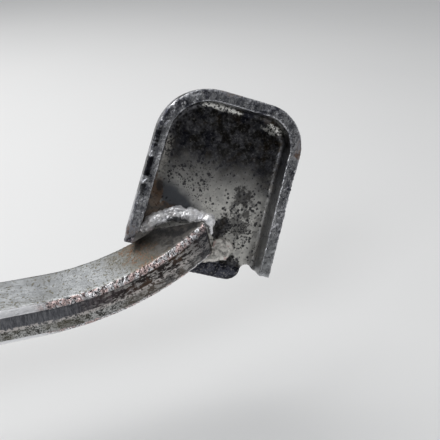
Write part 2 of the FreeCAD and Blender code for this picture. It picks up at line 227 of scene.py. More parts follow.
def with_thread_rows(outline, low, high, pitch):
    """The outline with eight more points a turn where it runs straight between two heights."""
    rows = []
    for a, b in zip(outline, outline[1:]):
        rows.append(a)
        straight = abs(a[0] - b[0]) < 1e-6
        if straight and max(a[1], b[1]) > low and min(a[1], b[1]) < high:
            steps = int(abs(b[1] - a[1]) / (pitch / 8)) + 1
            rows += [(a[0], a[1] + (b[1] - a[1]) * k / steps) for k in range(1, steps)]
    return rows + [outline[-1]]


def turned(name, profile, at=(0, 0, 0), axis=(0, 0, 1), closed=False, ease=0.25, thread=None, around=96):
    """Revolves (radius, height) points. thread is (low, high, pitch, depth): a V cut."""
    outline = eased(profile, ease, closed)
    if thread:
        low, high, pitch, depth = thread
        outline = with_thread_rows(outline, low, high, pitch)
    side, other, up = axis_frame(axis)
    rings = []
    points = []
    for radius, height in outline:
        if radius < 1e-6:
            rings.append([len(points)])
            points.append(Vector(at) + up * height)
            continue
        ring = []
        for k in range(around):
            angle = 2 * math.pi * k / around
            r = radius
            if thread and low < height < high:
                turn = (height / pitch - k / around) % 1.0
                cut = min(1.0, max(0.0, (1 - abs(2 * turn - 1) - 0.1) / 0.75))
                fade = min(1.0, (height - low) / pitch, (high - height) / pitch)
                r -= depth * cut * fade
            ring.append(len(points))
            out = side * math.cos(angle) + other * math.sin(angle)
            points.append(Vector(at) + out * r + up * height)
        rings.append(ring)
    faces = []
    for a, b in zip(rings, rings[1:] + rings[:1] if closed else rings[1:]):
        for k in range(around):
            n = (k + 1) % around
            if len(a) == 1 and len(b) == 1:
                continue
            if len(a) == 1:
                faces.append((a[0], b[k], b[n]))
            elif len(b) == 1:
                faces.append((a[k], a[n], b[0]))
            else:
                faces.append((a[k], a[n], b[n], b[k]))
    return smooth_shaded(mesh_piece(name, points, faces), 32)


def ring_piece(name, outer, inner, height, at, ease=0.2):
    profile = [(inner, 0), (outer, 0), (outer, height), (inner, height)]
    return turned(name, profile, at, closed=True, ease=ease)


def hexagon_piece(name, flats, height, bore, at, axis=(0, 0, 1)):
    """A hexagon with both faces turned down to a round land."""
    land = flats / 2 * 0.96
    blunt_corner = flats / math.sqrt(3) * 0.985
    chamfer_slope = 0.55
    side, other, up = axis_frame(axis)
    around = 96
    points = []
    kinds = ("bore", "land", "edge")
    for kind, low in [(kind, True) for kind in kinds] + [(kind, False) for kind in reversed(kinds)]:
        for k in range(around):
            angle = 2 * math.pi * k / around
            from_flat = (math.degrees(angle) + 30) % 60 - 30
            edge = min(flats / 2 / math.cos(math.radians(from_flat)), blunt_corner)
            radius = {"bore": bore, "land": land, "edge": edge}[kind]
            drop = chamfer_slope * (edge - land) if kind == "edge" else 0.0
            out = side * math.cos(angle) + other * math.sin(angle)
            points.append(Vector(at) + out * radius + up * (drop if low else height - drop))
    faces = []
    for ring in range(6):
        a, b = ring * around, (ring + 1) % 6 * around
        for k in range(around):
            n = (k + 1) % around
            faces.append((a + k, a + n, b + n, b + k))
    return smooth_shaded(mesh_piece(name, points, faces), 28)


def swept(name, path, radius, sides, flat=1.0):
    """A round wire along a path, with domed ends."""
    path = [Vector(p) for p in path]
    last = len(path) - 1
    tangents = [(path[min(i + 1, last)] - path[max(i - 1, 0)]).normalized() for i in range(last + 1)]
    side = axis_frame(tangents[0])[0]
    points = []
    faces = []
    rings = []

    def add_ring(centre, tangent, r):
        nonlocal side
        side = (side - tangent * side.dot(tangent)).normalized()
        other = tangent.cross(side)
        rings.append(len(points))
        for k in range(sides):
            angle = 2 * math.pi * k / sides
            points.append(centre + side * math.cos(angle) * r + other * math.sin(angle) * r * flat)

    dome = [(share, radius * 0.6 * math.sqrt(1 - share ** 2)) for share in (0.35, 0.7, 0.93)]
    for share, proud in dome:
        add_ring(path[0] - tangents[0] * proud, tangents[0], radius * share)
    for centre, tangent in zip(path, tangents):
        add_ring(centre, tangent, radius)
    for share, proud in reversed(dome):
        add_ring(path[-1] + tangents[-1] * proud, tangents[-1], radius * share)
    for a, b in zip(rings, rings[1:]):
        for k in range(sides):
            n = (k + 1) % sides
            faces.append((a + k, a + n, b + n, b + k))
    faces.append(tuple(range(sides)))
    faces.append(tuple(rings[-1] + k for k in range(sides)))
    return smooth_shaded(mesh_piece(name, points, faces), 60)


def spaced(path, step):
    """Points every step along a polyline, with the share of the way that each has come."""
    path = [Vector(p) for p in path]
    lengths = [(b - a).length for a, b in zip(path, path[1:])]
    total = sum(lengths)
    out = []
    for i in range(int(total / step) + 1):
        left = i * step
        for a, b, length in zip(path, path[1:], lengths):
            if left <= length or b is path[-1]:
                out.append((a.lerp(b, min(left / length, 1)), (b - a).normalized(), i * step / total))
                break
            left -= length
    return out


def weld(name, lumps, voxel=0.28, smoothing=2, relief=0.12, grain=1.1):
    """Drops of metal run together. A lump is (centre, direction, length, width, height, up)."""
    bm = bmesh.new()
    for centre, along, length, width, height, up in lumps:
        along = Vector(along).normalized()
        up = (Vector(up) - along * Vector(up).dot(along)).normalized()
        turn = Matrix((along, up.cross(along), up)).transposed().to_4x4()
        size = Matrix.Diagonal((length * MM, width * MM, height * MM, 1))
        move = Matrix.Translation(Vector(centre) * MM)
        bmesh.ops.create_icosphere(bm, subdivisions=3, radius=1.0, matrix=move @ turn @ size)
    mesh = bpy.data.meshes.new(name)
    bm.to_mesh(mesh)
    bm.free()
    obj = remeshed(linked(name, mesh), voxel, smoothing)
    lift = relief * (fractal(points_of(obj), grain, 3) - 0.3)
    return lifted(obj, np.clip(lift, -relief, relief * 0.4))


def bead(name, path, width, height, up):
    """A hand-laid bead: one drop after another, each a little different."""
    lumps = []
    for centre, along, _ in spaced(path, 1.25):
        shake = rng.uniform(-0.12, 0.12, 3)
        size = rng.uniform(0.88, 1.05)
        lumps.append((centre + Vector(shake), along, 1.5 * size, width * size, height * size, up(centre)))
    return weld(name, lumps)


# ---- material kit
class Finish:
    """One procedural material, built from short expressions in object millimetres."""

    def __init__(self, name):
        self.material = bpy.data.materials.new(name)
        self.material.use_nodes = True
        self.tree = self.material.node_tree
        self.tree.nodes.clear()
        place = self.node("ShaderNodeTexCoord").outputs["Object"]
        self.place = self.vector("SCALE", place, 1 / MM)

    def node(self, kind, **settings):
        made = self.tree.nodes.new(kind)
        for key, value in settings.items():
            setattr(made, key, value)
        return made

    def feed(self, socket, value):
        if isinstance(value, bpy.types.NodeSocket):
            self.tree.links.new(value, socket)
        elif socket.type == "RGBA":
            socket.default_value = (*value, 1.0)
        else:
            socket.default_value = value

    def made_from(self, kind, inputs, **settings):
        """A new node with its inputs fed, by name or by number."""
        made = self.node(kind, **settings)
        for key, value in inputs.items():
            self.feed(made.inputs[key], value)
        return made

    def math(self, operation, *values):
        return self.made_from("ShaderNodeMath", dict(enumerate(values)), operation=operation).outputs[0]

    def chain(self, operation, a, *rest):
        for b in rest:
            a = self.math(operation, a, b)
        return a

    def vector(self, operation, a, b):
        inputs = {0: a, "Scale" if operation == "SCALE" else 1: b}
        made = self.made_from("ShaderNodeVectorMath", inputs, operation=operation)
        return made.outputs["Value" if operation == "DOT_PRODUCT" else "Vector"]

    def add(self, *values):
        return self.chain("ADD", *values)

    def times(self, *values):
        return self.chain("MULTIPLY", *values)

    def most(self, *values):
        return self.chain("MAXIMUM", *values)

    def least(self, *values):
        return self.chain("MINIMUM", *values)

    def minus(self, a, b):
        return self.math("SUBTRACT", a, b)

    def inverse(self, a):
        return self.minus(1.0, a)

    def sway(self, x, amount):
        """What a noise has over its middle, times an amount."""
        return self.times(self.minus(x, 0.5), amount)

    def step(self, x, low, high):
        """0 below low, 1 above high, smooth between; low may be the greater."""
        flip = low > high
        inputs = {"Value": x, "From Min": min(low, high), "From Max": max(low, high),
                  "To Min": 1.0 if flip else 0.0, "To Max": 0.0 if flip else 1.0}
        made = self.made_from("ShaderNodeMapRange", inputs, interpolation_type="SMOOTHSTEP")
        return made.outputs["Result"]

    def band(self, x, start, full, still_full, end):
        """1 from full to still_full, 0 before start and after end."""
        return self.times(self.step(x, start, full), self.step(x, end, still_full))

    def noise(self, size, detail=3.0, rough=0.55, at=None, warp=0.0, seed=0.0, gain=1.0):
        """Noise about 0.5; gain stretches it away from there."""
        inputs = {"Vector": at or self.place, "W": seed, "Scale": 1.0 / size, "Detail": detail,
                  "Roughness": rough, "Distortion": warp}
        made = self.made_from("ShaderNodeTexNoise", inputs, noise_dimensions="4D")
        if gain == 1.0:
            return made.outputs[0]
        return self.math("MULTIPLY_ADD", made.outputs[0], gain, 0.5 - 0.5 * gain)

    def noises(self, kinds, seed, **more):
        """One noise for each (size, detail, roughness), with seeds that count up."""
        return [self.noise(*kind, seed=seed + i, **more) for i, kind in enumerate(kinds)]

    def cells(self, size):
        """Distance from the nearest of many scattered points."""
        inputs = {"Vector": self.place, "Scale": 1.0 / size, "Randomness": 1.0}
        return self.made_from("ShaderNodeTexVoronoi", inputs, feature="F1").outputs["Distance"]

    def combine(self, *values):
        return self.made_from("ShaderNodeCombineXYZ", dict(enumerate(values))).outputs[0]

    def split(self, vector):
        return self.made_from("ShaderNodeSeparateXYZ", {0: vector}).outputs

    def mix(self, share, a, b):
        return self.made_from("ShaderNodeMix", {"Factor": share, 6: a, 7: b}, data_type="RGBA").outputs[2]

    def blend(self, share, a, b):
        return self.made_from("ShaderNodeMix", {"Factor": share, 2: a, 3: b}, data_type="FLOAT").outputs[0]

    def tone(self, x, low, high, a, b):
        """Colour a where x is below low, b above high."""
        return self.mix(self.step(x, low, high), a, b)

    def over(self, under, colour, *shares):
        """A colour laid over another, by all the shares multiplied."""
        return self.mix(self.times(*shares), under, colour)

    def pointiness(self):
        """About 0.5 on flat metal, more on outer edges, less in folds."""
        return self.node("ShaderNodeNewGeometry").outputs["Pointiness"]

    def on_pad(self):
        """Across the pad, up it and out of its floor, in mm from its corner."""
        local = self.vector("SUBTRACT", self.place, PAD_CORNER)
        return [self.vector("DOT_PRODUCT", local, axis) for axis in (PAD_U, PAD_V, PAD_N)]

    def spot(self, x, y, centre, radii, ragged=0.5, seed=0.0, soft=0.32):
        """1 inside an uneven patch round a centre, 0 outside."""
        dx = self.times(self.minus(x, centre[0]), 1.0 / radii[0])
        dy = self.times(self.minus(y, centre[1]), 1.0 / radii[1])
        far = self.math("SQRT", self.add(self.times(dx, dx), self.times(dy, dy)))
        edge = self.sway(self.noise(2.6, 5.0, 0.7, seed=seed, gain=2.2), 2.4 * ragged)
        return self.step(self.add(far, edge), 0.96 + soft / 2, 0.96 - soft / 2)

    def spots(self, x, y, *patches):
        """Several patches together, each given as spot takes it."""
        return self.most(*[self.spot(x, y, *patch) for patch in patches])

    def done(self, colour, roughness, metallic=1.0, height=None, bump_mm=0.05, coat=0.0):
        inputs = {"Base Color": colour, "Roughness": roughness, "Metallic": metallic}
        if coat:
            inputs["Coat Weight"] = coat
        if height is not None:
            bump = self.made_from("ShaderNodeBump", {"Height": height, "Distance": bump_mm * MM})
            inputs["Normal"] = bump.outputs[0]
        shader = self.made_from("ShaderNodeBsdfPrincipled", inputs)
        self.made_from("ShaderNodeOutputMaterial", {"Surface": shader.outputs[0]})
        return self.material


BLACK = (0.012, 0.012, 0.016)
NIGHT = (0.035, 0.037, 0.046)
SILVER = (0.56, 0.57, 0.585)
BRIGHT = (0.86, 0.86, 0.88)
RUST = (0.17, 0.065, 0.028)
UMBER = (0.055, 0.030, 0.022)
OLIVE = (0.13, 0.115, 0.065)
PINK = (0.72, 0.56, 0.54)

# tarnish on the tray's floor, a darker patch between the two welds and a painted shadow under the lower
# weld's puddle: strength, then a patch as spot takes it
TARNISH_AND_SHADOW = (
    (0.95, (5.6, 11.2), (2.6, 4.3), 0.5, 5.0),
    (0.75, (10.4, 22.6), (4.0, 2.8), 0.9, 38.0, 0.4),
    (0.6, (10.5, 14.0), (4.0, 5.0), 1.3, 35.0, 0.5),
    # painted shadow under the lower weld's puddle
    (1.0, (8.0, 0.8), (7.0, 2.6), 0.5, 36.0))


def tray_floor(f, u, v, from_wall, noises, rust):
    """Grey with black pits, under a cloud of tarnish and painted dark reflection that thickens up the tray.
    """
    broad, middle, fine, grain = noises
    # the cloud is tarnish and painted dark reflection, thickening up the tray
    cloud = f.add(v, f.sway(broad, 10.0), f.sway(middle, 8.0), f.sway(fine, 5.0))
    dark = f.step(cloud, 19.5, 35.0)
    # painted shade in a strip along the right wall
    dark = f.most(dark, f.times(f.step(f.add(u, f.sway(middle, 5.0)), 15.5, 19.5), 0.75))
    for strength, *patch in TARNISH_AND_SHADOW:
        dark = f.most(dark, f.times(f.spot(u, v, *patch), strength))
    # darker along the tray's bottom edge: weld heat stain and painted shade
    dark = f.most(dark, f.step(v, 1.2, -0.6))
    # a smooth streak over the bulge, painted dark as shade from the arm
    leaning = f.add(v, f.times(f.add(u, 11.0), 0.45))
    smooth = f.spot(u, leaning, (-10.5, 16.6), (9.5, 4.6), 0.10, 7.0, 0.9)
    light = f.tone(middle, 0.30, 0.70, (0.52, 0.51, 0.485), (0.74, 0.725, 0.68))
    # a painted shaded copy of the grey, laid over the upper tray
    shaded_grey = f.tone(middle, 0.30, 0.70, (0.30, 0.295, 0.285), (0.44, 0.43, 0.41))
    light = f.tone(v, 14.0, 30.0, light, shaded_grey)
    light = f.mix(smooth, light, (0.085, 0.09, 0.10))
    mottled = f.tone(middle, 0.32, 0.70, (0.026, 0.024, 0.022), (0.125, 0.125, 0.135))
    blue, brown = f.noises(((5.0, 4.0, 0.6), (3.4, 4.0, 0.6)), 28.0, gain=2.0)
    mottled = f.tone(blue, 0.5, 0.75, mottled, (0.020, 0.021, 0.030))
    mottled = f.over(mottled, (0.05, 0.036, 0.022), f.step(brown, 0.56, 0.72), 0.5)
    mottled = f.over(mottled, (0.25, 0.245, 0.24), f.step(fine, 0.56, 0.80), 0.5)
    floor = f.mix(dark, light, mottled)

    # pits in two sizes, crowded in two places
    crowd = f.spots(u, v, ((-8.0, 25.0), (7.5, 6.5), 0.5, 8.0), ((11.5, 13.5), (5.5, 7.0), 0.5, 9.0))
    crowd = f.times(f.most(crowd, 0.28), f.inverse(f.times(smooth, 0.9)))
    uneven = f.add(f.sway(grain, 0.35), f.sway(fine, 0.5))
    large = f.minus(f.cells(1.3), f.add(f.times(crowd, 0.26), f.sway(middle, 0.9)))
    small = f.minus(f.cells(0.62), f.add(f.times(crowd, 0.22), f.sway(broad, 0.5)))
    pits = f.most(f.step(f.add(large, uneven), 0.14, 0.04), f.step(f.add(small, uneven), 0.10, 0.0))
    floor = f.over(floor, BLACK, pits, 0.93)

    # painted reflections in the fillet round the top and down the left wall, painted shade along the walls,
    # and rust in the low corner
    # painted reflection streaks in the top fillet
    rubbed_and_glint = f.spots(u, v, ((-4.5, 47.6), (6.5, 1.1), 0.45, 10.0), ((13.2, 45.0), (3.2, 1.5), 0.6, 11.0))
    fillet_glint = f.times(rubbed_and_glint, f.step(fine, 0.40, 0.5))
    floor = f.over(floor, (0.82, 0.81, 0.77), fillet_glint, 0.9)
    floor = f.over(floor, BLACK, f.step(from_wall, 5.2, 3.9), f.inverse(fillet_glint), 0.35)
    # painted reflection in the left wall's fillet
    fillet_reflection = f.times(f.band(u, -18.2, -17.4, -16.4, -15.2), f.band(v, 21.0, 25.0, 33.0, 37.0))
    floor = f.over(floor, (0.46, 0.44, 0.41), fillet_reflection, f.step(fine, 0.42, 0.56))
    rusty = f.spots(u, v, ((-18.2, 14.5), (3.2, 9.0), 0.35, 12.0), ((-14.0, 12.2), (5.5, 3.0), 0.4, 13.0))
    return f.over(floor, rust, rusty, 0.8), dark, pits, rusty


def tray_rim(f, u, v, rim, from_wall, noises, scratch, rust):
    """Scratched grey with bare black patches, and a painted reflection along its inner edge."""
    _, middle, fine, grain = noises
    outer = f.tone(scratch, 0.30, 0.70, (0.22, 0.225, 0.25), (0.56, 0.565, 0.59))
    outer = f.over(outer, (0.055, 0.058, 0.078), f.step(middle, 0.54, 0.70), 0.85)
    outer = f.over(outer, (0.075, 0.072, 0.075), f.step(fine, 0.62, 0.72), 0.7)
    outer = f.over(outer, BRIGHT, f.step(scratch, 0.64, 0.74), f.step(grain, 0.40, 0.55), 0.85)
    # painted reflection along the rim's inner edge
    inner_edge_reflection = f.times(f.band(from_wall, 2.0, 2.9, 3.4, 4.0), rim)
    outer = f.over(outer, BRIGHT, inner_edge_reflection, f.step(grain, 0.42, 0.6), 0.6)
    clean_end = f.times(f.step(u, 16.0, 19.0), f.step(v, 15.0, 8.0))
    outer = f.over(outer, f.mix(fine, (0.34, 0.35, 0.36), (0.47, 0.48, 0.49)), clean_end, 0.85)
    lengthwise = f.noise(3.4, 2.0, 0.4, at=f.combine(0.0, v, 0.0), seed=15.0)
    blocks = f.times(f.step(u, -17.5, -19.5), f.step(lengthwise, 0.38, 0.46),
                     f.band(v, 14.0, 20.0, 36.0, 40.0), f.step(from_wall, 2.0, 1.4))
    outer = f.over(outer, BLACK, blocks, 0.96)
    rusty = f.spots(u, v, ((21.6, 42.5), (1.8, 4.5), 0.5, 16.0), ((-22.5, 5.0), (2.5, 3.0), 0.5, 17.0),
                    ((-4.0, 52.0), (3.0, 1.0), 0.5, 18.0))
    return f.over(outer, rust, rusty, f.step(scratch, 0.36, 0.6), 0.7), rusty


def pad_finish():
    """Old plating on the pressed tray: tarnish and painted dark reflection above, pitted grey below, rust in
    the corners, painted reflections and shade by the rim and walls.
    """
    f = Finish("pad_plating")
    u, v, n = f.on_pad()
    noises = f.noises(((9.0, 3.0, 0.55), (2.6, 4.0, 0.6), (0.75, 3.0, 0.7), (0.3, 2.0, 0.7)), 1.0, gain=2.0)
    middle, fine = noises[1:3]
    side = f.math("ABSOLUTE", u)
    half_width = f.add(f.times(v, -0.0317), 23.6)
    from_wall = f.minus(half_width, side)
    inside = f.times(f.step(from_wall, 3.2, 4.0), f.step(v, PAD_LEN - 3.2, PAD_LEN - 4.2),
                     f.band(n, 3.2, 3.5, 9.6, 10.2))
    rim = f.step(n, 9.9, 10.3)
    rust = f.tone(middle, 0.36, 0.66, (0.035, 0.022, 0.016), (0.15, 0.085, 0.045))
    drawn_out = f.combine(f.times(u, 0.5), f.times(v, 0.22), f.times(n, 2.2))
    scratch = f.noise(0.55, 3.0, 0.75, at=drawn_out, seed=14.0, gain=2.0)
    floor, dark, pits, rusty = tray_floor(f, u, v, from_wall, noises, rust)
    outer, outer_rust = tray_rim(f, u, v, rim, from_wall, noises, scratch, rust)

    # the tread that the boot rubs, and the tongue of the open end, heat-darkened and painted in shade
    rubbed_and_glint = f.tone(f.noise(5.0, 4.0, 0.6, seed=19.0, gain=2.0), 0.3, 0.7, (0.30, 0.30, 0.31), SILVER)
    outer = f.mix(f.step(n, 1.4, 0.6), outer, f.over(rubbed_and_glint, UMBER, pits, 0.9))
    tongue = f.times(f.step(v, 0.5, -0.6), f.inverse(rim), f.step(side, 17.5, 16.0))
    # near black: weld heat stain and painted shade
    tongue_colour = f.tone(middle, 0.42, 0.62, (0.010, 0.011, 0.017), (0.055, 0.057, 0.072))
    tongue_colour = f.over(tongue_colour, (0.30, 0.29, 0.28), f.step(fine, 0.64, 0.72), 0.6)
    colour = f.over(f.mix(inside, outer, floor), tongue_colour, tongue, 0.95)
    spoilt = f.most(f.times(inside, pits), f.times(rusty, inside), f.times(outer_rust, 0.7))
    roughness = f.add(f.blend(inside, 0.34, f.blend(dark, 0.40, 0.36)), f.sway(fine, 0.35))
    roughness = f.blend(tongue, f.blend(spoilt, roughness, 0.75), 0.26)
    metallic = f.inverse(f.most(f.times(spoilt, 0.65), f.times(inside, f.inverse(dark), 0.5)))
    height = f.add(f.times(pits, -1.0), f.times(fine, 0.25), f.times(scratch, f.inverse(inside), 0.5))
    return f.done(colour, roughness, metallic, height, 0.08)


def satin_face(f, s, y, h, noises, specks):
    """The bar's top and underside: satin, then an olive stain, rust and a burnt end near the weld."""
    broad, middle, fine, _ = noises
    satin = f.tone(middle, 0.42, 0.58, (0.215, 0.224, 0.232), (0.275, 0.286, 0.295))
    satin = f.over(satin, (0.18, 0.184, 0.182), f.step(broad, 0.48, 0.58), 0.5)
    satin = f.over(satin, OLIVE, specks, 0.75)
    stain = f.add(s, f.sway(middle, 26.0), f.sway(fine, 14.0), f.times(y, 0.25))
    olive = f.tone(fine, 0.42, 0.58, (0.048, 0.042, 0.026), (0.125, 0.115, 0.09))
    satin = f.over(satin, olive, f.step(stain, 134.0, 150.0), 0.85)
    satin = f.over(satin, RUST, f.band(stain, 146.0, 150.0, 153.0, 158.0), f.step(fine, 0.48, 0.56), 0.55)
    burnt = f.tone(middle, 0.42, 0.6, (0.035, 0.035, 0.038), (0.11, 0.105, 0.10))
    satin = f.over(satin, burnt, f.step(stain, 150.0, 160.0), 0.92)
    far_edge = f.times(f.step(y, 6.2, 8.0), f.step(h, 3.0, 4.5), f.step(fine, 0.42, 0.55))
    return f.over(satin, (0.17, 0.165, 0.145), far_edge, 0.65)


def striped_side(f, s, y, h, noises, ribs):
    """The bar's sides: a striped dark band over a speckled one, both flecked beyond the bend, with a painted
    highlight along the ridge between them.
    """
    broad, middle, fine, grain = noises
    upper = f.tone(ribs, 0.34, 0.68, (0.072, 0.074, 0.084), (0.165, 0.168, 0.18))
    redder = f.tone(ribs, 0.34, 0.7, (0.030, 0.022, 0.024), (0.105, 0.078, 0.082))
    upper = f.over(upper, redder, f.step(s, 122.0, 138.0), 0.85)
    upper = f.over(upper, (0.014, 0.013, 0.015), f.step(middle, 0.50, 0.62), f.step(s, 146.0, 156.0), 0.8)
    salt = f.add(f.noise(0.55, 4.0, 0.8, at=f.combine(s, y, h), seed=27.0), f.sway(grain, 0.5))
    salt = f.step(f.add(salt, f.sway(middle, 0.5)), 0.42, 0.58)
    lower = f.mix(salt, (0.040, 0.040, 0.037), (0.50, 0.50, 0.49))
    lower = f.over(lower, f.mix(fine, (0.05, 0.048, 0.04), OLIVE), f.step(broad, 0.46, 0.62), 0.6)
    drawn_out = f.combine(f.times(s, 0.42), y, f.times(h, 1.1))
    flecks = f.noise(0.8, 4.0, 0.72, at=drawn_out, seed=34.0, gain=2.0)
    flecked = f.tone(flecks, 0.50, 0.62, (0.030, 0.025, 0.024), (0.42, 0.40, 0.385))
    brown = f.times(f.step(broad, 0.47, 0.55), f.step(flecks, 0.58, 0.50), 0.7)
    flecked = f.mix(brown, flecked, (0.085, 0.055, 0.04))
    upper = f.tone(f.add(s, f.sway(middle, 40.0)), 126.0, 150.0, upper, flecked)
    lower = f.over(lower, flecked, f.step(s, 134.0, 152.0), 0.75)
    sides = f.tone(f.add(h, f.sway(middle, 2.6)), -0.9, 0.3, lower, upper)
    # a painted highlight along the parting ridge
    ridge = f.band(h, -1.1, -0.5, 0.0, 0.5)
    sides = f.over(sides, (0.62, 0.58, 0.56), ridge, f.step(fine, 0.46, 0.53), 0.85)
    grime = f.tone(fine, 0.45, 0.6, (0.035, 0.028, 0.02), (0.16, 0.14, 0.11))
    return f.over(sides, grime, f.step(h, -2.6, -4.2), f.step(s, 122.0, 140.0), 0.55), salt


def arm_finish():
    """The forged arm: satin on top, pitted along its corners, dark and speckled down its sides; painted
    highlights on its corners and side ridge, painted shade at its cut end.
    """
    f = Finish("arm_plating")
    x, y, z = f.split(f.place)
    ahead = f.most(f.minus(x, BEND_X), 0.0)
    down = f.minus(BEND_CENTRE_Z, z)
    reach = f.math("SQRT", f.add(f.times(ahead, ahead), f.times(down, down)))
    s = f.add(f.least(x, BEND_X), f.times(f.math("ARCTAN2", ahead, down), BEND_R))
    h = f.minus(BEND_R, reach)
    side = f.math("ABSOLUTE", y)
    kinds = ((8.0, 3.0, 0.55), (2.2, 4.0, 0.62), (0.8, 3.0, 0.7), (0.33, 2.0, 0.7))
    noises = f.noises(kinds, 21.0, at=f.combine(s, y, h))
    broad, middle, fine, grain = noises
    ribs = f.noise(0.40, 2.0, 0.6, at=f.combine(s, f.times(y, 0.12), f.times(h, 0.16)), seed=25.0)
    beads = f.noise(0.42, 2.0, 0.7, at=f.combine(s, f.times(y, 0.6), f.times(h, 0.6)), seed=26.0)
    specks = f.step(f.add(fine, f.times(broad, 0.12)), 0.635, 0.665)
    satin = satin_face(f, s, y, h, noises, specks)
    sides, salt = striped_side(f, s, y, h, noises, ribs)
    on_side = f.times(f.step(f.add(side, f.sway(fine, 0.5)), 8.2, 8.45), f.step(h, 4.1, 3.7))

    # corners: worn smooth and painted bright as a highlight in the straight, a chain of pits with painted
    # glints round the bend
    corner = f.times(f.step(side, 7.1, 7.5), f.step(f.math("ABSOLUTE", h), 3.6, 3.9))
    chain = f.step(f.add(beads, f.sway(grain, 0.6)), 0.41, 0.52)
    pits_and_glints = f.mix(chain, (0.030, 0.024, 0.025), f.tone(middle, 0.45, 0.55, BRIGHT, PINK))
    corner_colour = f.tone(f.add(s, f.times(middle, 6.0)), 118.0, 124.0, BRIGHT, pits_and_glints)

    # the cut end, painted in shade: undercut below, slanted on its far side
    undercut = f.step(f.add(s, f.times(h, -0.575)), 169.2, 169.8)
    slant = f.times(f.step(f.add(s, f.times(y, 0.96)), 166.3, 167.0), f.step(s, 150.0, 154.0))
    colour = f.mix(corner, f.mix(on_side, satin, sides), corner_colour)
    colour = f.over(colour, NIGHT, f.step(s, 160.0, 168.0), f.step(side, 7.6, 8.3), 0.6)
    colour = f.over(colour, (0.04, 0.034, 0.03), f.most(undercut, slant), 0.9)
    rough_part = f.most(f.times(on_side, 0.8), f.times(corner, f.step(s, 118.0, 124.0)))
    roughness = f.add(f.blend(rough_part, 0.44, 0.42), f.sway(fine, 0.25))
    metallic = f.blend(f.times(on_side, f.inverse(salt), 0.5), 1.0, 0.5)
    relief = f.add(f.times(f.add(ribs, beads), 0.8), f.times(grain, 0.8))
    height = f.add(f.times(specks, -0.8), f.times(fine, 0.2), f.times(rough_part, relief))
    return f.done(colour, roughness, metallic, height, 0.09)


def weld_finish(name, bright, grey, shadow, tint, tint_share, roughness, metallic=1.0, hollow=None):
    """Weld metal: wrinkled skin, with painted shade in its folds and a painted shadow in one (centre, radii)
    hollow if it has one.
    """
    f = Finish(name)
    middle = f.noise(1.5, 4.0, 0.62, warp=0.6, seed=31.0)
    fine = f.noise(0.42, 3.0, 0.7, seed=32.0)
    colour = f.tone(middle, 0.34, 0.56, grey, bright)
    colour = f.tone(fine, 0.62, 0.72, colour, shadow)
    colour = f.over(colour, tint, f.step(f.noise(2.4, 3.0, seed=33.0), 0.54, 0.66), tint_share)
    # painted shade in the folds
    colour = f.over(colour, shadow, f.step(f.pointiness(), 0.49, 0.44), 0.75)
    # painted shadow in the hollow
    if hollow:
        u, v, _ = f.on_pad()
        colour = f.over(colour, NIGHT, f.spot(u, v, *hollow, 0.7, 37.0, 0.5), 0.9)
    rough = f.add(roughness, f.sway(fine, 0.3))
    return f.done(colour, rough, metallic, f.add(middle, f.times(fine, 0.8)), 0.16)


def turned_finish(name, base, dark, rough, lines, rust=0.0):
    """Machined metal: tool lines round the Z axis, stains, rust and wear on the edges."""
    f = Finish(name)
    broad = f.noise(6.0, 4.0, 0.6, seed=41.0)
    fine = f.noise(0.6, 3.0, 0.7, seed=42.0)
    x, y, z = f.split(f.place)
    rings = f.noise(0.35, 2.0, 0.5, at=f.combine(f.times(x, 0.06), f.times(y, 0.06), z), seed=43.0)
    colour = f.tone(broad, 0.36, 0.66, dark, base)
    colour = f.over(colour, BRIGHT, f.step(rings, 0.5, 0.62), 0.25)
    colour = f.over(colour, UMBER, f.step(fine, 0.66, 0.76), 0.55)
    if rust:
        rust_level = 0.78 - 0.12 * rust
        spots = f.step(f.add(broad, f.times(fine, 0.35)), rust_level, rust_level + 0.12)
        colour = f.over(colour, f.mix(fine, UMBER, RUST), spots, 0.8)
    colour = f.over(colour, BRIGHT, f.step(f.pointiness(), 0.52, 0.62), 0.6)
    height = f.add(f.times(rings, lines), f.times(fine, 0.3))
    return f.done(colour, f.add(rough, f.sway(broad, 0.3)), height=height)


def cast_finish(name, base, dark, pit_share):
    """Plated forging away from the pad: satin with clouded tarnish and pits."""
    f = Finish(name)
    broad, middle, fine = f.noises(((9.0, 4.0, 0.6), (2.4, 4.0, 0.62), (0.75, 3.0, 0.7)), 51.0)
    colour = f.tone(f.add(f.times(broad, 0.7), f.times(middle, 0.3)), 0.36, 0.62, dark, base)
    pit_level = 0.66 + pit_share * 0.4
    pits = f.step(f.add(fine, f.times(broad, pit_share)), pit_level, pit_level + 0.08)
    colour = f.over(colour, UMBER, pits, 0.85)
    colour = f.over(colour, OLIVE, f.step(middle, 0.60, 0.72), 0.4)
    colour = f.over(colour, BRIGHT, f.step(f.pointiness(), 0.51, 0.58), 0.65)
    roughness = f.add(0.36, f.times(f.minus(fine, 0.4), 0.4))
    height = f.add(f.times(pits, -1.0), f.add(f.times(middle, 0.5), f.times(fine, 0.4)))
    return f.done(colour, roughness, f.inverse(f.times(pits, 0.5)), height, 0.11)


